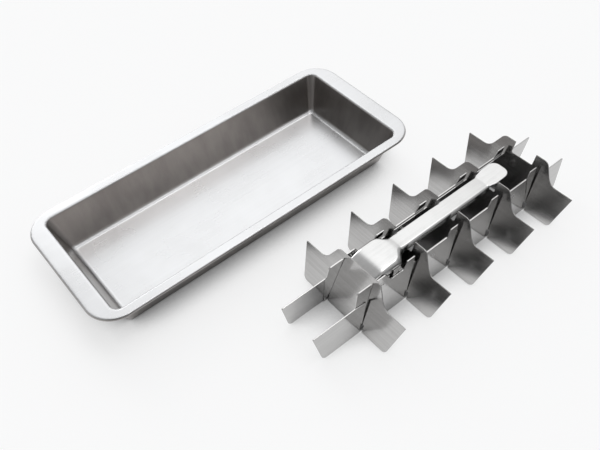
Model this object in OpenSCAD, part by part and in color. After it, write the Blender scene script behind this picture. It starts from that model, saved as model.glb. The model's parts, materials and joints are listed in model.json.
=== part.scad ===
// Lever ice cube tray: a pressed pan, and the divider grid that stands on the table beside it.
// Lengths are in millimetres and angles in degrees. The origin is the middle of the pan's
// underside, +X runs along the pan and +Z is up. Grid heights are measured from the table.

/* [Pan] */
// Length of the pan over its rim
pan_l = 268; // [240:1:320]
// Width of the pan over its rim
pan_w = 114.5; // [104:0.5:140]
// Height of the rim
pan_h = 29.8; // [22:0.1:40]
// Thickness of the pan's sheet
pan_t = 0.9; // [0.6:0.1:1.2]
// Width of the flat rim at each end
rim_end_w = 13.7; // [10:0.1:18]
// Width of the flat rim along each side
rim_side_w = 7.8; // [6:0.1:11]
// Corner radius of the rim's outline
rim_corner_r = 21; // [16:0.5:26]
// Corner radius of the opening
opening_corner_r = 6; // [5:0.5:9]
// Length of the rim's turned-down edge beyond its bend
lip_l = 1; // [0.7:0.1:1.5]
// Angle that the rim's edge is turned down through
lip_angle = 62; // [50:1:75]
// Outside radius of the bend between rim and wall
rim_bend_r = 1.8; // [1.4:0.1:2.5]
// Inside radius of the bend between wall and floor
floor_bend_r = 4.5; // [3:0.5:6]
// Lean of the pan's walls from upright
wall_draft = 17.4; // [10:0.2:20]

/* [Grid place] */
// First divider's foot, measured from the pan's middle along the pan
grid_x = -2.7; // [-30:0.1:10]
// Middle of the grid, measured from the pan's middle across the pan
grid_y = -128.1; // [-150:0.1:-120]

/* [Dividers] */
// Distance from one divider to the next
pitch = 39.2; // [37:0.2:44]
// Thickness of a divider's sheet
divider_t = 0.8; // [0.5:0.1:1]
// Height of a divider along its sheet
divider_h = 41.1; // [39.5:0.1:43]
// Half width of a divider at its foot
wing_foot_half = 39.4; // [32:0.1:42]
// Half width of a divider at its wing tips
wing_tip_half = 46.2; // [43:0.1:48]
// Height of the wings along the sheet
wing_h = 27.2; // [23:0.1:29]
// Radius of the wings' lower corners
wing_corner_r = 3.5; // [2:0.5:6]
// Half width between the corners where the shoulders rise from the wings
shoulder_foot_half = 27.2; // [25.5:0.1:29]
// Half width between the corners where the shoulders reach the top
shoulder_top_half = 19.1; // [18:0.1:20]
// Radius of the hollow where a wing meets its shoulder
shoulder_hollow_r = 9; // [6:0.5:10]
// Radius of a shoulder's top
shoulder_top_r = 5; // [3:0.5:6]
// Half width of the notch that the lever lies in
notch_half = 9; // [8.7:0.1:10]
// Height of the notch's floor along the sheet
notch_floor_h = 32.7; // [31:0.1:33]
// Lean of the dividers at rest, from upright
rest_lean = 20.4; // [19.5:0.1:21.5]
// Angle that the dividers rock back through
rock = 5.2; // [4:0.1:6]

/* [Side plates] */
// Half the distance between the side plates' outer faces at the table
foot_half = 17.3; // [16.8:0.1:17.8]
// Inward lean of the side plates
plate_lean = 4.5; // [4:0.1:5]
// Thickness of a side plate
plate_t = 0.8; // [0.6:0.1:0.9]
// Height of the unbroken strip below the slits
strip_h = 5.2; // [4:0.1:7]
// Height of the lugs that carry the lever's pin
lug_h = 36.4; // [36:0.1:37]
// Depth of the plain edge between the ears below the lugs' tops
low_drop = 7.2; // [5.9:0.1:7.6]
// Depth of the ears below the lugs' tops
ear_drop = 2.1; // [0.9:0.1:4.4]
// Far end of the lugs' flat top
lug_end = 23; // [22.5:0.1:25]
// Near tab's length before the first divider's foot
near_tab_l = 37; // [25:0.5:42]
// Height of the near tab
near_tab_h = 25; // [24:0.1:26]
// Far tab's length beyond the last divider's foot
far_tab_l = 40; // [28:0.5:44]
// Height of the far tab
far_tab_h = 23.9; // [23.5:0.1:25]

/* [Sliding plates] */
// Depth of the sliding plates' plain edge below the lugs' tops
slide_drop = 8.4; // [8:0.1:9.9]
// Height of the sliding plates' first ear
first_ear_h = 35.8; // [34:0.1:37]
// Depth of the drive pin's lug below the top of the pivot's lugs
drive_lug_drop = 3.4; // [2.9:0.1:3.9]

/* [Lever] */
// Near end of the lever's head
head_start = 15.5; // [15.2:0.1:16]
// Far end of the lever's head
head_end = 37.8; // [37.6:0.1:40]
// Half width of the head
head_half = 12.7; // [12:0.1:12.8]
// Where the neck ends and the channel begins
neck_end = 45.5; // [43:0.5:55]
// Half width of the channel's top face
channel_half = 6.2; // [5:0.1:6.8]
// How far each flange of the channel splays out
channel_splay = 0.4; // [0:0.1:1]
// Depth of the channel's flanges
channel_depth = 4.6; // [4:0.1:5]
// Where the channel ends in the finger tip
crease = 126; // [118:0.5:130]
// Far end of the finger tip
tip_end = 146; // [140:0.2:150]
// Half width of the finger tip
tip_half = 7.7; // [7:0.1:8.5]
// Thickness of the lever's sheet
lever_t = 1; // [0.8:0.1:1.1]
// Outside radius of the lever's folds
fold_r = 1.8; // [1.4:0.1:2.2]
// Upward bend of the finger tip
tip_rise = 3; // [0:0.5:6]
// Angle that the lever lifts through
swing = 60; // [50:1:65]

/* [Pins] */
// Radius of the pin that the lever turns on
pivot_r = 1.5; // [1.2:0.1:1.8]
// Place of that pin along the grid
pivot_x = 20; // [19.5:0.1:20.5]
// Depth of that pin below the top of its lugs
pivot_drop = 5.9; // [5.6:0.1:6.2]
// Radius of the pin that drives the sliding plates
drive_r = 1.4; // [1.1:0.1:1.6]
// Place of the drive pin along the grid
drive_x = 33.8; // [33:0.1:34]
// Depth of the drive pin below the top of the pivot's lugs
drive_drop = 7; // [6.4:0.1:7.2]
// Radius of the guide rivets
rivet_r = 1.4; // [1.1:0.1:1.8]
// Radius of the guide rivets' heads
rivet_head_r = 2.5; // [2.2:0.1:3]
// Depth of the guide rivets below the sliding plates' plain edge
rivet_drop = 5.5; // [5:0.5:16]

/* [Hidden] */

$fn = 64;
arc_steps = 8;
divider_count = 5;
last = divider_count - 1;
left = 1;
right = -1;

// Clearances: beside a divider in its slit, above the strip in its foot slot, between the
// plates of a pair, round a turning pin, round a sliding pin and round a tight one
slit_gap = 0.25;
seat_gap = 0.2;
plate_gap = 0.15;
turn_gap = 0.05;
slide_gap = 0.15;
press_gap = 0.02;
// Height that the dividers' and sliding plates' feet keep above the table
foot_gap = 0.5;
// Overrun of every cut
over = 2;

// Pan: how much of the inset the corner radius gives up down the wall, and steps of an arc
corner_ease_share = 0.28;
bend_steps = 6;
corner_steps = 14;
// Outside radius of the rim's turned-down edge, and its steps
lip_r = 1;
lip_steps = 3;

// Dividers: small radii, and the foot slots that straddle the side plates
divider_edge_r = 0.5;
notch_r = 1;
foot_slot_clear = 1;

// Side plates: slant of the tabs' ends, small radii, and the outline's lesser places
tab_slant = 5.5;
tab_corner_r = 4;
plate_edge_r = 0.8;
step_start = 2.5;
step_drop = 1.4;
lug_run = 4.5;
ear_start = 0.8;
ear_run = 3.4;

// Sliding plates: their far ends, and the outlines of the first ear and the drive pin's lug
slide_far_l = 18;
slide_end_drop = 5.2;
first_ear_run = 3.1;
first_ear_r = 2;
drive_lug_half = 3;
drive_lug_run = 1.6;

// Lever: depth of the folded sheet before it is trimmed, the head's flanges, the cam cheeks
// below them, how the tip joins the channel, its corners, and the steps along the neck
blank_depth = 26;
head_flange = 4.5;
pivot_lug_r = 5;
cam_wall = 2.2;
cam_start_angle = 8;
cam_end_angle = 20;
tip_lap = 0.8;
tip_sink = 0.05;
tip_shoulder = 7;
tip_shoulder_r = 12;
tip_corner_r = 5;
neck_stations = 12;

// Guide rivets: thickness of their heads, the dividers that they stand after, and how much of
// the way to the next divider
rivet_head_t = 0.7;
near_rivet_index = 1;
far_rivet_index = 3;
rivet_share = 0.653;

// A plate's lower inner corner rests on the table, so its outer face starts a little higher
plate_lift = plate_t * sin(plate_lean);
slide_depth = plate_t + plate_gap;
pair_depth = slide_depth + plate_t;
strip_top = strip_h * cos(plate_lean) + plate_lift;
// The dividers rock about the top of their foot slots
hinge_h = strip_top + divider_t / 2 * sin(rest_lean) + seat_gap;
foot_slot_h = (hinge_h - foot_gap) / cos(rest_lean);
end_lean = rest_lean - rock;
half_cut = divider_t / 2 / cos(rest_lean) + slit_gap;
blank_splay = channel_splay * blank_depth / channel_depth;
// The lever's head lies on the lugs that hold its pin, and the plates' edges follow the lugs
pivot_h = lug_h - pivot_drop;
lever_top = lug_h + lever_t;
low_h = lug_h - low_drop;
ear_h = lug_h - ear_drop;
drive_h = lug_h - drive_drop;
drive_lug_h = lug_h - drive_lug_drop;
slide_h = lug_h - slide_drop;
slide_end_h = slide_h - slide_end_drop;
rivet_h = slide_h - rivet_drop;
// The sliding plates push the dividers at their top edge, which sets their travel
contact_h = slide_h * cos(plate_lean) + plate_lift;
slide_travel = (contact_h - hinge_h) * (tan(rest_lean) - tan(end_lean));

// Shared functions
function unit(v) = v / norm(v);
function turned(v, a) = [v.x * cos(a) - v.y * sin(a), v.x * sin(a) + v.y * cos(a)];
function mix(a, b, share) = a + (b - a) * share;
function ease(share) = (1 - cos(180 * share)) / 2;
function reversed(list) = [for (i = [len(list) - 1 : -1 : 0]) list[i]];
function flipped(list) = reversed([for (p = list) [-p[0], p[1], p[2]]]);
function flat(p) = [p[0], p[1]];

// Arc of radius r that rounds the corner b of the path a, b, c
function rounded(a, b, c, r) =
    let (u = unit(a - b), v = unit(c - b), half = acos(u * v) / 2)
    let (centre = b + unit(u + v) * r / sin(half))
    let (start = b + u * r / tan(half) - centre)
    let (turn = -sign(u.x * v.y - u.y * v.x) * (180 - 2 * half))
    [for (i = [0 : arc_steps]) centre + turned(start, turn * i / arc_steps)];

// Closed outline through points [x, y, radius], each corner rounded by its radius
function outline(points) =
    let (n = len(points))
    [for (i = [0 : n - 1])
        let (a = flat(points[(i + n - 1) % n]), b = flat(points[i]), c = flat(points[(i + 1) % n]))
        each (points[i][2] == 0 ? [b] : rounded(a, b, c, points[i][2]))];

// Two triangles over the corners a, b, c and d of a face, counted one way round
function face(a, b, c, d) = [[a, b, c], [a, c, d]];

// Closed skin over rings of equally many points. The caps on the first and last ring are
// strips that run from the middle of the ring's list out to its ends
module skin(rings) {
    n = len(rings[0]);
    end = (len(rings) - 1) * n;
    sides = [for (r = [0 : n : end - n], i = [0 : n - 1])
        let (j = (i + 1) % n)
        each face(r + i, r + j, r + n + j, r + n + i)];
    first_cap = [for (i = [0 : n / 2 - 2]) each face(n - 1 - i, n - 2 - i, i + 1, i)];
    last_cap = [for (i = [0 : n / 2 - 2]) each face(end + i, end + i + 1, end + n - 2 - i, end + n - 1 - i)];
    polyhedron([for (ring = rings) each ring], concat(first_cap, sides, last_cap));
}

// Pan
bend_angle = 90 - wall_draft;
rim_bend_inset = -rim_bend_r * tan(bend_angle / 2);
floor_bend_inset = (pan_h - pan_t) * tan(wall_draft) + floor_bend_r * tan(bend_angle / 2);
// Width and lower end of the turned-down edge
lip_w = lip_r * sin(lip_angle) + lip_l * cos(lip_angle);
lip_end_h = pan_h - lip_r * (1 - cos(lip_angle)) - lip_l * sin(lip_angle);

function pan_ring(half_l, half_w, r, z) =
    [for (corner = [0 : 3], i = [0 : corner_steps])
        let (a = 90 * (corner + i / corner_steps))
        let (sx = corner == 0 || corner == 3 ? 1 : -1, sy = corner < 2 ? 1 : -1)
        [sx * (half_l - r) + r * cos(a), sy * (half_w - r) + r * sin(a), z]];

// Ring that lies a given inset inside the opening's edge
function wall_ring(inset, z) =
    pan_ring(pan_l / 2 - rim_end_w - inset, pan_w / 2 - rim_side_w - inset,
        opening_corner_r - corner_ease_share * inset, z);
// Ring that lies a given inset inside the rim's outline
function rim_ring(inset, z) =
    pan_ring(pan_l / 2 - inset, pan_w / 2 - inset, rim_corner_r - inset, z);
function floor_bend_ring(a, r) =
    wall_ring(floor_bend_inset - r * sin(a), pan_t + floor_bend_r - r * cos(a));
function rim_bend_ring(a, r) =
    wall_ring(rim_bend_inset + r * sin(a), pan_h - rim_bend_r + r * cos(a));

module tray_pan() {
    down = [for (i = [0 : bend_steps]) bend_angle * i / bend_steps];
    upper = concat([for (a = down) floor_bend_ring(a, floor_bend_r)],
        [for (a = reversed(down)) rim_bend_ring(a, rim_bend_r)]);
    lip = concat([for (i = [0 : lip_steps])
        let (a = lip_angle * i / lip_steps)
        rim_ring(lip_w - lip_r * sin(a), pan_h - lip_r * (1 - cos(a)))],
        [rim_ring(0, lip_end_h), rim_ring(pan_t * sin(lip_angle), lip_end_h - pan_t * cos(lip_angle)),
        rim_ring(lip_w, pan_h - pan_t)]);
    lower = concat([for (a = down) rim_bend_ring(a, rim_bend_r - pan_t)],
        [for (a = reversed(down)) floor_bend_ring(a, floor_bend_r + pan_t)]);
    color([0.86, 0.87, 0.88]) skin(concat(upper, lip, lower));
}

// Grid
function foot_x(k) = k * pitch;
// Middle of divider k at height s along a side plate, when it leans by a
function divider_x(k, s, a) =
    foot_x(k) + hinge_h * tan(rest_lean) + (s * cos(plate_lean) + plate_lift - hinge_h) * tan(a);
// The same as seen from the sliding plates, when a share of their travel is done
function carried_x(k, s, share) =
    divider_x(k, s, rest_lean - rock * share) + slide_travel * share;

// Slits of the fixed plates: they let the dividers rock back from their rest
function slit_near(k, s) = min(divider_x(k, s, rest_lean), divider_x(k, s, end_lean)) - half_cut;
function slit_far(k, s) = max(divider_x(k, s, rest_lean), divider_x(k, s, end_lean)) + half_cut;
function slit_middle(k, s) = (slit_near(k, s) + slit_far(k, s)) / 2;
// Slots of the sliding plates: tight at the pushing height, and wider below it
function slot_near(k, s) = min(carried_x(k, s, 0), carried_x(k, s, 1)) - half_cut;
function slot_far(k, s) = max(carried_x(k, s, 0), carried_x(k, s, 1)) + half_cut;
function slot_middle(k, s) = (slot_near(k, s) + slot_far(k, s)) / 2;

// Puts a shape drawn on the grid's middle line beside the pan
module in_grid() {
    translate([grid_x, grid_y, 0]) children();
}

// Puts a shape drawn upright, with its outer face on y = 0, onto a leaning side plate
module on_plate(side) {
    in_grid() mirror([0, side == left ? 1 : 0, 0])
        translate([0, -foot_half, plate_lift]) rotate([-plate_lean, 0, 0]) children();
}

// Upright sheet of thickness t whose outer face lies a given depth inside the plate's
module sheet(depth, t) {
    translate([0, depth + t, 0]) rotate([90, 0, 0]) linear_extrude(t) children();
}

// Round bar across the grid at a place along it, over the whole width given
module cross_bar(x, z, r, half_l) {
    translate([x, 0, z]) rotate([90, 0, 0]) cylinder(h = 2 * half_l, r = r, center = true);
}

// Half the distance between faces that lie a given depth inside the plates, at a height
function inner_half(z, depth) =
    foot_half - (z - plate_lift) * tan(plate_lean) - depth / cos(plate_lean);

fixed_ears = [for (k = [1 : last]) each [
    [foot_x(k) - ear_start, low_h, plate_edge_r],
    [foot_x(k) - ear_start + ear_run, ear_h, plate_edge_r],
    [slit_middle(k, ear_h), ear_h, 0],
    [slit_middle(k, k == last ? far_tab_h : low_h), k == last ? far_tab_h : low_h, 0]]];

fixed_points = concat([
    [-(near_tab_l - tab_slant), 0, tab_corner_r],
    [-near_tab_l, near_tab_h, plate_edge_r],
    [-step_start, near_tab_h, 0],
    [slit_middle(0, near_tab_h - step_drop), near_tab_h - step_drop, 0],
    [slit_middle(0, lug_h), lug_h, 0],
    [lug_end, lug_h, plate_edge_r],
    [lug_end + lug_run, low_h, plate_edge_r]],
    fixed_ears, [
    [foot_x(last) + far_tab_l, far_tab_h, plate_edge_r],
    [foot_x(last) + far_tab_l - tab_slant, 0, tab_corner_r / 2]]);

module fixed_plate(side) {
    color([0.62, 0.63, 0.65]) difference() {
        on_plate(side) difference() {
            sheet(0, plate_t) difference() {
                polygon(outline(fixed_points));
                for (k = [0 : last]) slit(k);
            }
            for (bay = [near_rivet_index, far_rivet_index])
                rivet_shank(bay, rivet_r + press_gap, over);
        }
        in_grid() cross_bar(pivot_x, pivot_h, pivot_r + press_gap, foot_half + over);
    }
}

module slit(k) {
    top = lug_h + over;
    polygon([[slit_near(k, strip_h), strip_h], [slit_near(k, top), top],
        [slit_far(k, top), top], [slit_far(k, strip_h), strip_h]]);
}

slide_points = [
    [-step_start, foot_gap, plate_edge_r],
    [-step_start, slide_end_h, plate_edge_r],
    [-step_start + first_ear_run, first_ear_h, first_ear_r],
    [slot_middle(0, first_ear_h), first_ear_h, 0],
    [slot_middle(0, slide_h), slide_h, 0],
    [drive_x - drive_lug_half - drive_lug_run, slide_h, plate_edge_r],
    [drive_x - drive_lug_half, drive_lug_h, plate_edge_r],
    [drive_x + drive_lug_half, drive_lug_h, plate_edge_r],
    [drive_x + drive_lug_half + drive_lug_run, slide_h, plate_edge_r],
    [slot_middle(last, slide_h), slide_h, 0],
    [slot_middle(last, slide_end_h), slide_end_h, 0],
    [foot_x(last) + slide_far_l, slide_end_h, plate_edge_r],
    [foot_x(last) + slide_far_l, foot_gap, plate_edge_r]];

module slide_plate(side) {
    color([0.5, 0.51, 0.53]) difference() {
        on_plate(side) sheet(slide_depth, plate_t) difference() {
            polygon(outline(slide_points));
            for (k = [0 : last]) slot(k);
            for (bay = [near_rivet_index, far_rivet_index]) guide_slot(bay);
        }
        in_grid() cross_bar(drive_x, drive_h, drive_r + press_gap, foot_half + over);
    }
}

module slot(k) {
    heights = [strip_h, slide_h, first_ear_h + over];
    polygon(concat([for (s = heights) [slot_near(k, s), s]],
        [for (s = reversed(heights)) [slot_far(k, s), s]]));
}

// The guide rivets run in these slots as the plates slide
module guide_slot(bay) {
    r = rivet_r + slide_gap;
    translate([rivet_x(bay), rivet_h]) {
        circle(r);
        translate([0, -r]) square([slide_travel, 2 * r]);
        translate([slide_travel, 0]) circle(r);
    }
}

function rivet_x(bay) = foot_x(bay) + rivet_share * pitch;

// Rivet's shank, pointing into the grid from a given overrun outside the plate's face
module rivet_shank(bay, r, overrun) {
    translate([rivet_x(bay), -overrun, rivet_h]) rotate([-90, 0, 0])
        cylinder(h = pair_depth + plate_gap + overrun, r = r);
}

module guide_rivet(side, bay) {
    color([0.8, 0.8, 0.8]) on_plate(side) {
        rivet_shank(bay, rivet_r, 0);
        translate([rivet_x(bay), pair_depth + plate_gap, rivet_h]) rotate([-90, 0, 0])
            cylinder(h = rivet_head_t, r = rivet_head_r);
    }
}

wing_points = [
    [wing_foot_half, 0, wing_corner_r],
    [wing_tip_half, wing_h, divider_edge_r],
    [shoulder_foot_half, wing_h, shoulder_hollow_r],
    [shoulder_top_half, divider_h, shoulder_top_r]];
notch_points = [
    [notch_half, divider_h, divider_edge_r],
    [notch_half, notch_floor_h, notch_r]];

// Divider k: drawn flat, stood up across the grid, then leant about the top of its foot slots
module divider(k) {
    points = k == 0 ? wing_points : concat(wing_points, notch_points);
    slot_start = inner_half(hinge_h, pair_depth) - slit_gap;
    slot_end = foot_half + foot_slot_clear;
    color([0.7, 0.7, 0.71]) in_grid()
        translate([foot_x(k) + hinge_h * tan(rest_lean), 0, hinge_h])
        rotate([0, rest_lean, 0]) translate([-divider_t / 2, 0, -foot_slot_h])
        rotate([90, 0, 90]) linear_extrude(divider_t) difference() {
            polygon(outline(concat(points, flipped(points))));
            for (side = [left, right]) mirror([side == left ? 0 : 1, 0])
                translate([slot_start, -over]) square([slot_end - slot_start, foot_slot_h + over]);
        }
}

// Lever: a channel section across x, measured from the middle of its top face
function channel(half, splay) = outline([
    [-half - splay, -blank_depth, 0], [-half, 0, fold_r], [half, 0, fold_r],
    [half + splay, -blank_depth, 0], [half + splay - lever_t, -blank_depth, 0],
    [half - lever_t, -lever_t, fold_r - lever_t], [-half + lever_t, -lever_t, fold_r - lever_t],
    [-half - splay + lever_t, -blank_depth, 0]]);

// Places along the lever, each with its share of the way from the head's section to the
// channel's: the neck eases the one into the other
lever_stations = concat([[head_start - over, 0]],
    [for (i = [0 : neck_stations])
        let (share = i / neck_stations)
        [mix(head_end, neck_end, share), ease(share)]],
    [[crease, 1]]);

// The folded sheet before its side view trims it
module folded_blank() {
    skin([for (station = lever_stations)
        [for (p = channel(mix(head_half, channel_half, station[1]), blank_splay * station[1]))
            [station[0], p.x, lever_top + p.y]]]);
}

// Drive pin as seen from the lever, from the pivot, when a share of the swing is done
function cam_point(share) =
    turned([drive_x - slide_travel * share - pivot_x, drive_h - pivot_h], -swing * share);
cam_steps = 16;
cam_slot_r = drive_r + slide_gap;

// Curve alongside the drive pin's way, moved out from the pivot by a distance
function cam_curve(distance) = [for (i = [0 : cam_steps])
    let (p = cam_point(i / cam_steps)) p + unit(p) * distance];

// Half round at one end of the slot, from its outer to its inner side
function cam_end(share, turn) = [for (i = [1 : cam_steps - 1])
    let (p = cam_point(share))
    p + turned(unit(p) * cam_slot_r, turn * i / cam_steps)];

module cam_slot() {
    polygon(concat(cam_curve(cam_slot_r), cam_end(1, -180),
        reversed(cam_curve(-cam_slot_r)), reversed(cam_end(0, 180))));
}

// Side view that trims the folded sheet: the flanges' lower edge, the lug round the pivot and
// the cam cheek
module lever_side() {
    flange_h = lever_top - head_flange;
    channel_h = lever_top - channel_depth;
    wall = cam_slot_r + cam_wall;
    first = turned(cam_point(0) + unit(cam_point(0)) * wall, cam_start_angle);
    last_out = cam_point(1) + unit(cam_point(1)) * wall;
    polygon([[head_start, lever_top + over], [crease + over, lever_top + over],
        [crease + over, channel_h], [neck_end, channel_h],
        [head_end, flange_h], [head_start, flange_h]]);
    translate([head_start, pivot_h]) square([pivot_lug_r, lever_top - pivot_h]);
    translate([pivot_x, pivot_h]) {
        circle(pivot_lug_r);
        polygon(concat([[0, flange_h - pivot_h], [first.x, flange_h - pivot_h]],
            cam_curve(wall), [turned(last_out, -cam_end_angle), [-pivot_lug_r, 0]]));
    }
}

// The finger tip laps into the channel's top sheet
module finger_tip() {
    tip_t = lever_t - 2 * tip_sink;
    tip_l = tip_end - crease;
    half_points = [
        [-tip_lap, -channel_half + fold_r, 0],
        [tip_lap, -channel_half, 0],
        [tip_shoulder, -tip_half, tip_shoulder_r],
        [tip_l, -tip_half, tip_corner_r]];
    points = concat(half_points, reversed([for (p = half_points) [p[0], -p[1], p[2]]]));
    translate([crease, 0, lever_top - tip_sink]) rotate([0, -tip_rise, 0])
        translate([0, 0, -tip_t]) linear_extrude(tip_t) polygon(outline(points));
}

module lever() {
    color([0.93, 0.93, 0.94]) in_grid() {
        difference() {
            intersection() {
                folded_blank();
                rotate([90, 0, 0]) linear_extrude(2 * foot_half, center = true) lever_side();
            }
            cross_bar(pivot_x, pivot_h, pivot_r + turn_gap, foot_half);
            translate([pivot_x, 0, pivot_h]) rotate([90, 0, 0])
                linear_extrude(2 * foot_half, center = true) cam_slot();
        }
        finger_tip();
    }
}

// The pivot pin's ends are riveted flush with the fixed plates
module pivot_pin() {
    color([0.8, 0.8, 0.8]) in_grid()
        cross_bar(pivot_x, pivot_h, pivot_r, inner_half(pivot_h + pivot_r, 0));
}

// The drive pin's ends are riveted flush with the sliding plates
module drive_pin() {
    color([0.8, 0.8, 0.8]) in_grid()
        cross_bar(drive_x, drive_h, drive_r, inner_half(drive_h + drive_r, slide_depth));
}

tray_pan();
fixed_plate(left);  // fixed_plate_left
fixed_plate(right);  // fixed_plate_right
slide_plate(left);  // slide_plate_left
slide_plate(right);  // slide_plate_right
divider(0);  // divider_1
divider(1);  // divider_2
divider(2);  // divider_3
divider(3);  // divider_4
divider(4);  // divider_5
lever();
pivot_pin();
drive_pin();
guide_rivet(left, near_rivet_index);  // guide_rivet_near_left
guide_rivet(left, far_rivet_index);  // guide_rivet_far_left
guide_rivet(right, near_rivet_index);  // guide_rivet_near_right
guide_rivet(right, far_rivet_index);  // guide_rivet_far_right
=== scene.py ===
# Lever ice cube tray: the pressed pan with its divider grid beside it, in brushed steel
import json
import math
import bmesh
import bpy
import numpy as np
from mathutils import Matrix, Vector
from mathutils.geometry import tessellate_polygon


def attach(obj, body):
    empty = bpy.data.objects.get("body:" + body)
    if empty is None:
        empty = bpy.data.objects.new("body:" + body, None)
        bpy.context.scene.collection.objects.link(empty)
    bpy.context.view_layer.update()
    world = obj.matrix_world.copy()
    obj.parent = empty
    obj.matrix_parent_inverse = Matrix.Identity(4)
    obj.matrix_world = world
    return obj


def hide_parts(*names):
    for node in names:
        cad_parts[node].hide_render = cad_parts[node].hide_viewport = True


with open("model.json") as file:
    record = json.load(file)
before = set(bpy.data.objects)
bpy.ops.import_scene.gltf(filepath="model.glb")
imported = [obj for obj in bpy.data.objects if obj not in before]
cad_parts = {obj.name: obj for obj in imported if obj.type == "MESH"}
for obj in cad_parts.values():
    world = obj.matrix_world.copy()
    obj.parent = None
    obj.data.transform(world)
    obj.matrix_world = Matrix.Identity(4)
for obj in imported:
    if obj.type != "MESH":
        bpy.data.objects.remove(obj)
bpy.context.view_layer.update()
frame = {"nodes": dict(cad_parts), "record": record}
nodes = frame["nodes"]
mm = 0.001


camera = {
    "place": (-0.18225, -0.33668, 0.40749),
    "right": (0.7735, -0.6317, -0.0508),
    "up": (0.50401, 0.56451, 0.65369),
    "forward": (0.38426, 0.53126, -0.75506),
    "lens": 44.94,
    "sensor": 36.0,
    "clip": (0.01, 20),
}


def makeCamera(look):
    # the columns of its matrix are right, up, backward and place
    data = bpy.data.cameras.new("camera")
    data.lens, data.sensor_width = look["lens"], look["sensor"]
    data.clip_start, data.clip_end = look["clip"]
    eye = bpy.data.objects.new("camera", data)
    bpy.context.scene.collection.objects.link(eye)
    columns = [look["right"], look["up"], [-c for c in look["forward"]], look["place"]]
    rows = [[column[i] for column in columns] for i in range(3)]
    eye.matrix_world = Matrix(rows + [[0, 0, 0, 1]])
    bpy.context.scene.camera = eye


makeCamera(camera)
print("camera placed")


class Wire:
    # one output socket; a sum, difference or product with it adds a Math node to its finish
    def __init__(self, finish, socket):
        self.finish, self.socket = finish, socket

    def joined(self, operation, first, second):
        # a Math node over two numbers or wires
        return self.finish.add("ShaderNodeMath", {"operation": operation}, {0: first, 1: second})

    def __add__(self, other):
        return self.joined("ADD", self, other)

    def __radd__(self, other):
        return self.joined("ADD", other, self)

    def __sub__(self, other):
        return self.joined("SUBTRACT", self, other)

    def __rsub__(self, other):
        return self.joined("SUBTRACT", other, self)

    def __mul__(self, other):
        return self.joined("MULTIPLY", self, other)

    def __rmul__(self, other):
        return self.joined("MULTIPLY", other, self)


class Finish:
    # the node tree of a material or of the world
    def __init__(self, owner):
        owner.use_nodes = True
        self.tree = owner.node_tree
        self.tree.nodes.clear()

    def add(self, kind, settings=None, values=None, output=0):
        # a node with its settings first, then the value or the wire of each socket
        node = self.tree.nodes.new(kind)
        for name, value in (settings or {}).items():
            setattr(node, name, value)
        for name, value in (values or {}).items():
            if isinstance(value, Wire):
                self.tree.links.new(value.socket, node.inputs[name])
            else:
                node.inputs[name].default_value = value
        return Wire(self, node.outputs[output]) if len(node.outputs) else None

    def noise(self, scale, detail):
        # noise on object coordinates, stretched by a scale for each axis, per metre
        place = self.add("ShaderNodeTexCoord", output="Object")
        spot = self.add("ShaderNodeMapping", values={"Vector": place, "Scale": scale})
        return self.add("ShaderNodeTexNoise", values={
            "Vector": spot, "Scale": 1, "Detail": detail, "Roughness": 0.55})

    def blend(self, share, low, high):
        # colour between low and high
        ends = [end if isinstance(end, Wire) else (*end, 1) for end in (low, high)]
        sockets = {0: share, 6: ends[0], 7: ends[1]}
        return self.add("ShaderNodeMix", {"data_type": "RGBA"}, sockets, output=2)

    def spread(self, value, low, high, toLow, toHigh):
        # smooth step of value from low..high onto toLow..toHigh
        return self.add("ShaderNodeMapRange", {"interpolation_type": "SMOOTHSTEP"}, {
            0: value, 1: low, 2: high, 3: toLow, 4: toHigh})

    def part(self, source, axis):
        # dot product of a texture coordinate and an axis
        vector = self.add("ShaderNodeTexCoord", output=source)
        return self.add("ShaderNodeVectorMath", {"operation": "DOT_PRODUCT"}, {
            0: vector, 1: axis}, output="Value")

    def facing(self, axis):
        # size of the surface normal's part along an axis of the object
        part = self.part("Normal", axis)
        return self.add("ShaderNodeMath", {"operation": "ABSOLUTE"}, {0: part})

    def ray(self, kind):
        # 1 for rays of a kind, 0 for the others
        return self.add("ShaderNodeLightPath", output="Is " + kind + " Ray")


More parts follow.
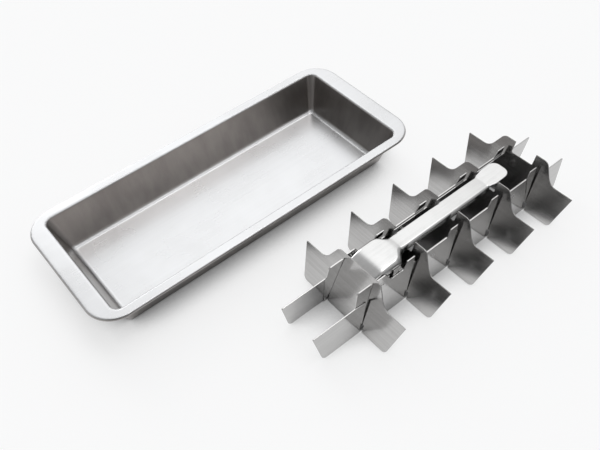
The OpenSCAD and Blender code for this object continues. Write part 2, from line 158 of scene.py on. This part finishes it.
# steel: grain is the axis that the brushing runs along; along, fine, broad and smudge are
# noise scales per metre; cloud is the smudges' share of the tone; wave is the sheet's unevenness
steelGrain = {
    "fineShare": 0.45,
    "broadStretch": 0.4,
    "tones": (0.3, 0.7),
    "bumpDepth": 0.02 * mm,
    "waves": 45,
}
steelLooks = {
    "pan_steel": {
        "grain": 0, "along": 12, "fine": 1400, "broad": 300, "smudge": 30, "cloud": 0.6,
        "dark": (0.505, 0.509, 0.516), "light": (0.555, 0.561, 0.57),
        "rough": 0.28, "roughStreak": 0.05, "roughSmudge": 0.08,
        "bump": 0.06, "wave": 0.05 * mm,
        "walls": {
            "steep": (0.4, 0.96), "bendStart": (0.75, 0.93), "bendEnd": (0.94, 0.995),
            "turning": (0.08, 0.35),
            "marks": (160, 160, 10), "markShare": 0.4, "markDepth": 0.5,
            "wrinkles": (420, 420, 55), "wrinkleDepth": 14,
            # the walls' dark and light are painted shade: the same sheet is darker where it stands
            # steep
            "dark": (0.30, 0.284, 0.276), "light": (0.40, 0.380, 0.368),
            "rough": 0.04, "bendRough": 0.3,
        },
    },
    "divider_steel": {
        "grain": 1, "along": 14, "fine": 1500, "broad": 500, "smudge": 60, "cloud": 0.2,
        "dark": (0.455, 0.450, 0.445), "light": (0.545, 0.54, 0.535),
        "rough": 0.17, "roughStreak": 0.08, "roughSmudge": 0.06,
        "bump": 0.08, "wave": 0.3 * mm,
    },
    "plate_steel": {
        "grain": 0, "along": 14, "fine": 1500, "broad": 500, "smudge": 60, "cloud": 0.2,
        "dark": (0.48, 0.476, 0.472), "light": (0.54, 0.536, 0.532),
        "rough": 0.12, "roughStreak": 0.05, "roughSmudge": 0.04,
        "bump": 0.06, "wave": 0.15 * mm,
    },
    "lever_steel": {
        "grain": 0, "along": 20, "fine": 1500, "broad": 400, "smudge": 60, "cloud": 0.5,
        "dark": (0.49, 0.49, 0.488), "light": (0.55, 0.55, 0.548),
        "rough": 0.16, "roughStreak": 0.05, "roughSmudge": 0.05,
        "bump": 0.04, "wave": 0.05 * mm,
    },
    "pin_steel": {
        "grain": 0, "along": 60, "fine": 1500, "broad": 600, "smudge": 80, "cloud": 0.2,
        "dark": (0.50, 0.50, 0.495), "light": (0.58, 0.58, 0.575),
        "rough": 0.28, "roughStreak": 0.08, "roughSmudge": 0.06,
        "bump": 0.1, "wave": 0.0,
    },
}


def brushedTone(steel, look, smudge):
    # fine and broad noise, long along the grain and short across it, mixed with the smudges
    def stretched(along, across):
        # the scale along the grain on its axis, the scale across it on the others
        return [along if axis == look["grain"] else across for axis in range(3)]

    fine = steel.noise(stretched(look["along"], look["fine"]), 2)
    broad = steel.noise(stretched(look["along"] * steelGrain["broadStretch"], look["broad"]), 3)
    streak = fine * steelGrain["fineShare"] + broad * (1 - steelGrain["fineShare"])
    return streak * (1 - look["cloud"]) + smudge * look["cloud"]


def wallShares(steel, walls):
    # by the way the surface faces: steep is wall, nearly level is the bend into the floor,
    # and where both level parts of the normal are large, the wall turns a corner
    x, y, z = (steel.facing(axis) for axis in ((1, 0, 0), (0, 1, 0), (0, 0, 1)))
    wall = steel.spread(z, *walls["steep"], 1.0, 0.0)
    bend = steel.spread(z, *walls["bendStart"], 0.0, 1.0) * steel.spread(
        z, *walls["bendEnd"], 1.0, 0.0)
    return wall, bend, wall * steel.spread(x * y, *walls["turning"], 0.0, 1.0)


def makeSteel(name, look):
    # one tone moves colour, roughness and bump; on drawn walls upright marks take the
    # brushing's place, with wrinkles at the corners and a duller bend into the floor; the walls'
    # darker colour, picked by how steeply the surface faces, is painted shade
    material = bpy.data.materials.new(name)
    steel = Finish(material)
    smudge = steel.noise([look["smudge"]] * 3, 2)
    tone = height = brushedTone(steel, look, smudge)
    rough = look["rough"]
    walls = look.get("walls")
    if walls:
        wall, bend, corner = wallShares(steel, walls)
        mark = steel.noise(walls["marks"], 3)
        wrinkle = steel.noise(walls["wrinkles"], 2)
        height = height * (1 - wall) + mark * wall * walls["markDepth"]
        height = height + wrinkle * corner * walls["wrinkleDepth"]
        tone = tone * (1 - wall) + mark * wall
        rough = rough + wall * walls["rough"] + bend * walls["bendRough"]

    def shade(value, ends):
        # colour between dark and light by a smooth step of the value
        share = steel.spread(value, *steelGrain["tones"], 0.0, 1.0)
        return steel.blend(share, ends["dark"], ends["light"])

    colour = shade(tone, look)
    if walls:
        wallTone = mark * walls["markShare"] + smudge * (1 - walls["markShare"])
        # painted shade: steep faces take the walls' darker colour, the marks' tone varying inside
        # it
        colour = steel.blend(wall, colour, shade(wallTone, walls))
    rough = rough + (tone - 0.5) * look["roughStreak"] + (smudge - 0.5) * look["roughSmudge"]
    fineBump = steel.add("ShaderNodeBump", values={
        "Strength": look["bump"], "Distance": steelGrain["bumpDepth"], "Height": height})
    wave = steel.noise([steelGrain["waves"]] * 3, 1)
    bump = steel.add("ShaderNodeBump", values={
        "Strength": 1, "Distance": look["wave"], "Height": wave, "Normal": fineBump})
    shader = steel.add("ShaderNodeBsdfPrincipled", values={
        "Base Color": colour, "Roughness": rough, "Metallic": 1.0, "Normal": bump})
    steel.add("ShaderNodeOutputMaterial", values={"Surface": shader})
    return material


steels = {name: makeSteel(name, look) for name, look in steelLooks.items()}
print("steel finishes made")


def smoothFaces(mesh):
    # every face of the mesh shaded smooth
    mesh.polygons.foreach_set("use_smooth", np.ones(len(mesh.polygons), bool))
    mesh.update()


def meshOf(name, points, faces):
    # a smooth mesh from an array of points and lists of their numbers
    mesh = bpy.data.meshes.new(name)
    mesh.from_pydata(points.tolist(), [], faces)
    smoothFaces(mesh)
    return mesh


def place(name, mesh, body, slotName, replaced):
    # an object with its steel, riding on its body in the node's place
    piece = bpy.data.objects.new(name, mesh)
    bpy.context.scene.collection.objects.link(piece)
    mesh.materials.clear()
    mesh.materials.append(steels[slotName])
    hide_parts(replaced)
    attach(piece, body)
    return piece


def gridFaces(rows, columns):
    # quads between neighbouring closed rings, and one flat face over the first and last ring
    index = np.arange(rows * columns).reshape(rows, columns)
    a, b = index[:-1], index[1:]
    quads = np.stack([a, b, np.roll(b, -1, 1), np.roll(a, -1, 1)], -1).reshape(-1, 4)
    return quads.tolist() + [index[0].tolist()] + [index[-1, ::-1].tolist()]


pan = {
    "length": 268 * mm, "width": 114.5 * mm, "height": 29.8 * mm, "sheet": 0.9 * mm,
    "rimEnd": 13.7 * mm, "rimSide": 7.8 * mm,
    "rimCorner": 21 * mm, "openingCorner": 6 * mm, "cornerEase": 0.28,
    "lipStraight": 1 * mm, "lipRound": 1 * mm, "lipAngle": 62, "cutRound": 0.15 * mm,
    "rimBend": 1.8 * mm, "floorBend": 4 * mm, "draft": 17.4,
    "floorRings": (1.2 * mm, 0.4 * mm), "wallSteps": 6, "rimSteps": 8, "lipSteps": 6,
    "bendSteps": 10, "cornerSteps": 24, "longSteps": 48, "shortSteps": 20,
}


def roundedRing(halfL, halfW, radius, height, p):
    # rounded rectangle: four quarter arcs of the radius, joined by evenly stepped straights
    arc = np.linspace(0, math.pi / 2, p["cornerSteps"] + 1)
    arcs = []
    for corner, (sx, sy) in enumerate([(1, 1), (-1, 1), (-1, -1), (1, -1)]):
        turn = arc + corner * math.pi / 2
        x = sx * (halfL - radius) + radius * np.cos(turn)
        y = sy * (halfW - radius) + radius * np.sin(turn)
        arcs.append(np.stack([x, y], 1))
    ring = []
    for corner in range(4):
        here, there = arcs[corner], arcs[(corner + 1) % 4]
        count = p["longSteps"] if corner % 2 == 0 else p["shortSteps"]
        share = np.linspace(0, 1, count + 1)[1:-1, None]
        ring += [here, here[-1] + (there[0] - here[-1]) * share]
    flat = np.concatenate(ring)
    return np.column_stack([flat, np.full(len(flat), height)])


def panSurface(p):
    # rings carried from the floor's middle up the inside, over the rim and down the outside
    t, h, draft, cut = p["sheet"], p["height"], math.radians(p["draft"]), p["cutRound"]
    bend = math.pi / 2 - draft
    rimInset = -p["rimBend"] * math.tan(bend / 2)
    floorInset = (h - t) * math.tan(draft) + p["floorBend"] * math.tan(bend / 2)
    down = np.linspace(0, bend, p["bendSteps"] + 1)

    def wallRing(inset, z):
        # the opening's outline, moved inwards, with corners that get rounder further in
        return roundedRing(p["length"] / 2 - p["rimEnd"] - inset,
                           p["width"] / 2 - p["rimSide"] - inset,
                           p["openingCorner"] - p["cornerEase"] * inset, z, p)

    def floorBend(a, r):
        # arc of radius r about the centre over the floor's edge
        return wallRing(floorInset - r * math.sin(a), t + p["floorBend"] - r * math.cos(a))

    def rimBend(a, r):
        # arc of radius r about the centre under the rim's inner edge
        return wallRing(rimInset + r * math.sin(a), h - p["rimBend"] + r * math.cos(a))

    def between(first, second, count):
        # rings that share out the way from one ring to another evenly
        share = np.linspace(0, 1, count + 1)[1:-1, None, None]
        return list(first[None] + (second - first)[None] * share)

    def outer(inset, z):
        # the rim's outline, moved inwards
        return roundedRing(p["length"] / 2 - inset, p["width"] / 2 - inset,
                           p["rimCorner"] - inset, z, p)

    lipTurn = math.radians(p["lipAngle"])
    lipWidth = p["lipRound"] * math.sin(lipTurn) + p["lipStraight"] * math.cos(lipTurn)
    lipEnd = h - p["lipRound"] * (1 - math.cos(lipTurn)) - p["lipStraight"] * math.sin(lipTurn)

    def onLip(back, deep):
        # point of the flared lip: a way back from its end and a depth into the sheet
        return outer(back * math.cos(lipTurn) + deep * math.sin(lipTurn),
                     lipEnd + back * math.sin(lipTurn) - deep * math.cos(lipTurn))

    def floorRings(z):
        # level rings inside the floor's bend
        return [wallRing(floorInset + step, z) for step in p["floorRings"]]

    def upperPath():
        # floor, bend and wall upwards, then the rim's bend, the rim and its turned-down lip
        low = [floorBend(a, p["floorBend"]) for a in down]
        top = [rimBend(a, p["rimBend"]) for a in down[::-1]]
        edge = [outer(lipWidth - p["lipRound"] * math.sin(a), h - p["lipRound"] * (1 - math.cos(a)))
                for a in np.linspace(0, lipTurn, p["lipSteps"] + 1)]
        wall = floorRings(t) + low + between(low[-1], top[0], p["wallSteps"]) + top
        return wall + between(top[-1], edge[0], p["rimSteps"]) + edge + [onLip(cut, 0)]

    def lowerPath():
        # round the cut edge, then back under the lip, the rim and the wall to the floor
        edge = [onLip(0, cut), onLip(0, t - cut), onLip(cut, t), outer(lipWidth + cut, h - t)]
        top = [rimBend(a, p["rimBend"] - t) for a in down]
        low = [floorBend(a, p["floorBend"] + t) for a in down[::-1]]
        rim = edge + between(edge[-1], top[0], p["rimSteps"]) + top
        return rim + between(top[-1], low[0], p["wallSteps"]) + low + floorRings(0)[::-1]

    return np.array(upperPath() + lowerPath())


def makePan(p):
    # one closed skin round the sheet, its cut edge rounded
    grid = panSurface(p)
    mesh = meshOf("pressedPan", grid.reshape(-1, 3), gridFaces(*grid.shape[:2]))
    place("pressedPan", mesh, "pan", "pan_steel", "tray_pan")


makePan(pan)
print("pan pressed")


sheetEdge = {"width": 0.17 * mm, "steps": 2, "angle": 28, "merge": 0.001 * mm, "level": 0.3}


def roundEdges(piece, look):
    # a fine bevel on the cut edges, and normals that lean on the large faces
    bevel = piece.modifiers.new("edge", "BEVEL")
    bevel.width, bevel.segments = look["width"], look["steps"]
    bevel.limit_method, bevel.angle_limit = "ANGLE", math.radians(look["angle"])
    bevel.use_clamp_overlap = True
    normals = piece.modifiers.new("normals", "WEIGHTED_NORMAL")
    normals.keep_sharp, normals.weight = True, 100


lever = {
    "gridX": -2.7 * mm, "gridY": -128.1 * mm, "top": 37.4 * mm, "sheet": 1 * mm,
    "start": 15.5 * mm, "headEnd": 37.8 * mm, "neckEnd": 45.5 * mm,
    "headHalf": 12.7 * mm, "channelHalf": 6.4 * mm, "tipHalf": 7.7 * mm,
    "headFlange": 4.5 * mm, "channelFlange": 4.6 * mm, "leastFlange": 0.3 * mm,
    "splay": 0.4 * mm,
    "headFold": 3.0 * mm, "channelFold": 1.8 * mm, "neckFold": 2.0 * mm,
    "tipFold": 0.45 * mm, "leastFold": 0.08 * mm, "foldLead": 3 * mm,
    "headCrown": 0.3 * mm, "channelCrown": 0.2 * mm, "crownPower": 2.5,
    "headLift": 0.2 * mm, "levelAt": 36 * mm,
    "endSlope": 0.27, "endFlat": 20 * mm, "endRound": 31 * mm,
    "neckSlope": 0.095, "neckMiddle": 44 * mm, "neckReach": 6.5 * mm,
    "crease": 126 * mm, "creaseBend": (-0.4 * mm, 0.9 * mm),
    "creaseReach": (-1 * mm, 1.4 * mm), "rise": 3,
    "tipEnd": 145.9 * mm, "tipWiden": (-0.5 * mm, 8 * mm), "tipCorner": 5 * mm,
    "tipSide": 0.3 * mm,
    "stations": (26, 30, 32, 16, 16, 18), "foldSteps": 10, "topSteps": 9, "flangeSteps": 5,
    "pivot": (20 * mm, 30.5 * mm), "pivotBore": 1.55 * mm, "pivotLug": 5 * mm,
    "lugArc": (-100, -180),
    "drive": (33.8 * mm, 29.4 * mm), "slotHalf": 1.55 * mm, "slotWall": 2.2 * mm,
    "slotEnds": (8, -20), "travel": 2.24357 * mm, "swing": 60,
    "cheekLap": 0.6 * mm, "cheekInset": 0.01 * mm,
    "camSteps": 23, "lugSteps": 11, "boreSteps": 30, "slotSteps": 9,
    "merge": 0.0005 * mm,
}


def mixed(low, high, share):
    # low plus the share of the way to high
    return low + (high - low) * share


def smooth(value, low, high):
    # smooth step from 0 at low to 1 at high
    share = np.clip((value - low) / (high - low), 0, 1)
    return share * share * (3 - 2 * share)


def bump(value, middle, reach):
    # squared cosine: 1 at the middle, 0 from the reach on
    return np.cos(math.pi / 2 * np.clip((value - middle) / reach, -1, 1)) ** 2


def leverStations(p):
    # places along the lever, close together where its width or section changes
    begin, end = (p["crease"] + reach for reach in p["creaseReach"])
    stops = [p["start"], p["headEnd"], p["neckEnd"], begin, end, p["tipEnd"] - p["tipCorner"]]
    runs = [np.linspace(a, b, count)[:-1] for a, b, count in zip(stops, stops[1:], p["stations"])]
    turn = np.linspace(0, math.pi / 2, p["stations"][-1])
    return np.concatenate(runs + [p["tipEnd"] - p["tipCorner"] * (1 - np.sin(turn))])


def leverDrop(p, x):
    # height along the lever: the running sum of its slope, which is steep at the head's
    # near end and falls at the neck, set to the head's lift at one place
    slope = p["endSlope"] * (1 - smooth(x, p["endFlat"], p["endRound"]))
    slope = slope - p["neckSlope"] * bump(x, p["neckMiddle"], p["neckReach"])
    drop = np.concatenate([[0], np.cumsum((slope[1:] + slope[:-1]) / 2 * np.diff(x))])
    return drop + p["headLift"] - np.interp(p["levelAt"], x, drop)


def leverSurface(p):
    # at each station a folded section: flange, fold, crowned top, fold and flange, then back inside
    x = leverStations(p)
    narrow = (1 - np.cos(math.pi * np.clip(
        (x - p["headEnd"]) / (p["neckEnd"] - p["headEnd"]), 0, 1))) / 2
    flat = smooth(x, *(p["crease"] + reach for reach in p["creaseBend"]))
    wide = smooth(x, *(p["crease"] + reach for reach in p["tipWiden"]))
    half = mixed(mixed(p["headHalf"], p["channelHalf"], narrow), p["tipHalf"], wide)
    past = np.clip(x - (p["tipEnd"] - p["tipCorner"]), 0, p["tipCorner"])
    half = half - p["tipCorner"] + np.sqrt(p["tipCorner"] ** 2 - past ** 2)
    crown = mixed(p["headCrown"], p["channelCrown"], narrow) * (1 - flat)
    drop = leverDrop(p, x)
    fold = mixed(p["headFold"], p["channelFold"], narrow)
    fold = fold + p["neckFold"] * bump(x, p["neckMiddle"] - p["foldLead"], p["neckReach"])
    depth = mixed(p["headFlange"], p["channelFlange"], narrow) - crown + drop
    depth = np.maximum(depth, fold + p["leastFlange"])
    depth, fold = mixed(depth, p["sheet"], flat), mixed(fold, p["tipFold"], flat)
    side = mixed(p["sheet"], p["tipSide"], flat)
    splay = p["splay"] * narrow * (1 - flat)
    down = np.linspace(0, 1, p["flangeSteps"] + 1)[None]
    bend = np.linspace(0, math.pi / 2, p["foldSteps"] + 1)[None]
    share = np.linspace(0, 1, p["topSteps"] + 1)[None, :-1]

    def halfSection(half, fold, top, depth):
        # from the middle of the top out over the fold and down the flange
        half, fold, top, depth, spread = (v[:, None] for v in (half, fold, top, depth, splay))
        y = np.concatenate([share * (half - fold), half - fold + fold * np.sin(bend),
                            half + spread * down[:, 1:]], 1)
        z = np.concatenate([-top + 0 * share * half, -top - fold + fold * np.cos(bend),
                            -top - fold - (depth - top - fold) * down[:, 1:]], 1)
        return y, z

    outY, outZ = halfSection(half, fold, np.zeros_like(x), depth)
    inner = np.maximum(fold - side, p["leastFold"])
    inDepth = np.maximum(depth, p["sheet"] + inner + p["cheekInset"])
    inY, inZ = halfSection(half - side, np.minimum(inner, half - side), p["sheet"] + 0 * x, inDepth)
    y = np.concatenate([-outY[:, ::-1], outY[:, 1:], inY[:, ::-1], -inY[:, 1:]], 1)
    z = np.concatenate([outZ[:, ::-1], outZ[:, 1:], inZ[:, ::-1], inZ[:, 1:]], 1)
    z = z - crown[:, None] * np.clip(np.abs(y) / half[:, None], 0, 1) ** p["crownPower"]
    rise = np.maximum(x - p["crease"], 0) * math.tan(math.radians(p["rise"]))
    z = z + (rise + drop)[:, None]
    x = np.repeat(x[:, None], y.shape[1], 1)
    return np.stack([x + p["gridX"], y + p["gridY"], z + p["top"]], -1)


def turnedBy(points, angle):
    # x-z points turned about the pivot by degrees, from +X towards +Z
    c, s = np.cos(np.radians(angle)), np.sin(np.radians(angle))
    x, z = points[..., 0], points[..., 1]
    return np.stack([x * c - z * s, x * s + z * c], -1)


def arcOf(radius, start, end, count):
    # points on a circle about the pivot, between two angles in degrees
    turn = np.radians(np.linspace(start, end, count))
    return radius * np.stack([np.cos(turn), np.sin(turn)], -1)


def camPath(p, distance):
    # the drive pin as the lever sees it while it lifts: back by the travel and down by the
    # swing, moved out from the pivot by a distance
    share = np.linspace(0, 1, p["camSteps"] + 1)
    x = p["drive"][0] - p["pivot"][0] - p["travel"] * share
    z = p["drive"][1] - p["pivot"][1] + 0 * share
    path = turnedBy(np.stack([x, z], -1), -p["swing"] * share)
    return path * (1 + distance / np.linalg.norm(path, axis=1))[:, None]


def cheekOutlines(p):
    # outline of a cam cheek with its round bore and its curved slot, about the pivot
    flangeLine = p["top"] - p["headFlange"] - p["pivot"][1] + p["cheekLap"]
    outside = camPath(p, p["slotHalf"] + p["slotWall"])
    first, last = turnedBy(outside[0], p["slotEnds"][0]), turnedBy(outside[-1], p["slotEnds"][1])
    near = p["start"] - p["pivot"][0]
    lug = arcOf(p["pivotLug"], *p["lugArc"], p["lugSteps"] + 1)
    outline = np.concatenate([[[near, flangeLine], [first[0], flangeLine]], outside,
                              [last], lug, [[near, 0]]])
    bore = arcOf(p["pivotBore"], 0, 360, p["boreSteps"] + 1)[:-1]
    centres = camPath(p, 0)
    out, back = camPath(p, p["slotHalf"]), camPath(p, -p["slotHalf"])[::-1]
    cap = np.linspace(0, 180, p["slotSteps"] + 1)[1:-1]

    def halfRound(centre, sign):
        # half a circle of the slot's half width about a centre
        arm = centre / np.linalg.norm(centre) * p["slotHalf"]
        return centre + turnedBy(arm, sign * cap)

    slot = np.concatenate([out, halfRound(centres[-1], -1), back, halfRound(centres[0], 1)[::-1]])
    return [outline, bore, slot]


def cheekSurface(p, side):
    # the outline with its holes filled flat on both faces of the sheet, and quads along each loop
    inset = p["cheekInset"]
    loops = [np.insert(loop + [p["pivot"]], 1, side * (p["headHalf"] - inset), 1)
             for loop in cheekOutlines(p)]
    triangles = np.array(tessellate_polygon([[Vector(v) for v in loop] for loop in loops]))
    outer = np.concatenate(loops) + [p["gridX"], p["gridY"], 0]
    inner = outer - [0, side * (p["sheet"] - 2 * inset), 0]
    count, begin, quads = len(outer), 0, []
    for loop in loops:
        a = begin + np.arange(len(loop))
        b = np.roll(a, -1)
        quads += np.stack([a, b, b + count, a + count], 1).tolist()
        begin += len(loop)
    faces = triangles.tolist() + (triangles[:, ::-1] + count).tolist() + quads
    return np.concatenate([outer, inner]), faces


def makeLever(p):
    # the folded sheet and its two cam cheeks in one mesh, with all faces outwards
    grid = leverSurface(p)
    shell = meshOf("foldedLever", grid.reshape(-1, 3), gridFaces(*grid.shape[:2]))
    cheeks = [meshOf("camCheek", *cheekSurface(p, side)) for side in (1, -1)]
    work = bmesh.new()
    for part in [shell] + cheeks:
        work.from_mesh(part)
    bmesh.ops.remove_doubles(work, verts=work.verts, dist=p["merge"])
    bmesh.ops.recalc_face_normals(work, faces=work.faces)
    work.to_mesh(shell)
    work.free()
    for part in cheeks:
        bpy.data.meshes.remove(part)
    smoothFaces(shell)
    roundEdges(place("foldedLever", shell, "lever", "lever_steel", "lever"), sheetEdge)


makeLever(lever)
print("lever folded")


def sheetCopy(nodeName, look):
    # the node's own triangles, joined and with their flat faces made whole
    work = bmesh.new()
    work.from_mesh(nodes[nodeName].data)
    bmesh.ops.remove_doubles(work, verts=work.verts, dist=look["merge"])
    bmesh.ops.dissolve_limit(work, angle_limit=math.radians(look["level"]),
                             verts=work.verts, edges=work.edges)
    mesh = bpy.data.meshes.new(nodeName)
    work.to_mesh(mesh)
    work.free()
    smoothFaces(mesh)
    return mesh


def camel(name):
    # words joined, each after the first with a capital
    first, *rest = name.split("_")
    return first + "".join(part.capitalize() for part in rest)


slotOf = {part["node"]: part["material_slot"] for part in frame["record"]["subparts"]}
bodyOf = {node: body for body, names in frame["record"]["behaviour"]["bodies"].items()
          for node in names}
for nodeName in nodes:
    if nodeName not in ("tray_pan", "lever"):
        piece = place(camel(nodeName) + "Sheet", sheetCopy(nodeName, sheetEdge),
                      bodyOf[nodeName], slotOf[nodeName], nodeName)
        roundEdges(piece, sheetEdge)
print("grid sheets finished")


# the table's diffuse colour is kept low, and what the camera and the steel see of it is
# lifted to white where the table is open, so that it keeps the object's shadow
tableLook = {
    "half": 4, "colour": (0.258, 0.26, 0.263), "reach": 36 * mm, "samples": 12,
    "seenOpen": (0.15, 0.62), "seenLift": 0.70,
    "mirroredOpen": (0.30, 0.52), "mirroredLift": 0.72, "mirroredFront": (-0.23, -0.175),
}


def makeTable(look):
    # diffuse plus a glow: smooth steps of the openness, less in front for mirrored rays, which
    # is painted shade in what the steel reflects
    mesh = bpy.data.meshes.new("table")
    s = look["half"]
    mesh.from_pydata([(-s, -s, 0), (s, -s, 0), (s, s, 0), (-s, s, 0)], [], [(0, 1, 2, 3)])
    table = bpy.data.objects.new("table", mesh)
    bpy.context.scene.collection.objects.link(table)
    material = bpy.data.materials.new("table")
    finish = Finish(material)
    shader = finish.add("ShaderNodeBsdfDiffuse", values={"Color": (*look["colour"], 1)})
    openness = finish.add("ShaderNodeAmbientOcclusion", {"samples": look["samples"]},
                          {"Distance": look["reach"]}, output="AO")
    seen = finish.spread(openness, *look["seenOpen"], 0.0, look["seenLift"])
    mirrored = finish.spread(openness, *look["mirroredOpen"], 0.0, look["mirroredLift"])
    # painted shade: the table's front glows less for mirrored rays, so the steel reflects it darker
    front = finish.spread(finish.part("Object", (0, 1, 0)), *look["mirroredFront"], 0.0, 1.0)
    mirrorRay = finish.ray("Glossy") + finish.ray("Transmission")
    lift = finish.ray("Camera") * seen + mirrorRay * mirrored * front
    glow = finish.add("ShaderNodeEmission", values={"Color": (1, 1, 1, 1), "Strength": lift})
    both = finish.add("ShaderNodeAddShader", values={0: shader, 1: glow})
    finish.add("ShaderNodeOutputMaterial", values={"Surface": both})
    mesh.materials.append(material)


# each pair of numbers is a range of the direction's part to the side, back or up, from -1 to 1
domeLook = {
    "seenWall": 0.96,
    "backdrop": 1.7, "leftEdge": (-0.03, 0.14), "leftDim": 0.3,
    "rightEdge": (0.52, 0.70), "rightDim": 0.45, "frontEdge": (-1.0, 0.4), "frontDim": 0.3,
    "top": 2.8, "topEdge": (0.8, 0.95), "topSide": (-0.02, 0.18), "topDepth": (0.1, 0.4),
    "window": 2.5, "windowRight": (0.19, 0.26), "windowLeft": (-0.1, 0.0),
    "windowBack": (0.7, 0.85), "windowSill": (0.1, 0.25),
}


def makeDome(look):
    # smooth steps of the direction's parts, multiplied: a backdrop that fades to the left,
    # the right and the front, plus a box overhead, plus a narrow window at the back; the
    # camera sees an even white wall instead
    world = bpy.data.worlds.new("studio")
    bpy.context.scene.world = world
    dome = Finish(world)
    side, depth, height = (dome.part("Generated", axis)
                           for axis in ((1, 0, 0), (0, 1, 0), (0, 0, 1)))
    back = dome.spread(side, *look["leftEdge"], look["leftDim"], 1.0)
    back = back * dome.spread(depth, *look["frontEdge"], look["frontDim"], 1.0)
    back = back * dome.spread(side, *look["rightEdge"], look["backdrop"],
                              look["backdrop"] * look["rightDim"])
    top = dome.spread(height, *look["topEdge"], 0.0, look["top"])
    top = top * dome.spread(side, *look["topSide"], 0.0, 1.0)
    top = top * dome.spread(depth, *look["topDepth"], 1.0, 0.0)
    window = dome.spread(side, *look["windowRight"], look["window"], 0.0)
    window = window * dome.spread(side, *look["windowLeft"], 0.0, 1.0)
    window = window * dome.spread(depth, *look["windowBack"], 0.0, 1.0)
    window = window * dome.spread(height, *look["windowSill"], 0.0, 1.0)
    seenRay = dome.ray("Camera") + dome.ray("Transmission")
    light = seenRay * look["seenWall"] + (1 - seenRay) * (back + top + window)
    shade = dome.add("ShaderNodeBackground", values={"Color": (1, 1, 1, 1), "Strength": light})
    dome.add("ShaderNodeOutputWorld", values={"Surface": shade})


makeTable(tableLook)
makeDome(domeLook)
bpy.context.scene.view_settings.view_transform = "Standard"
print("studio lit")
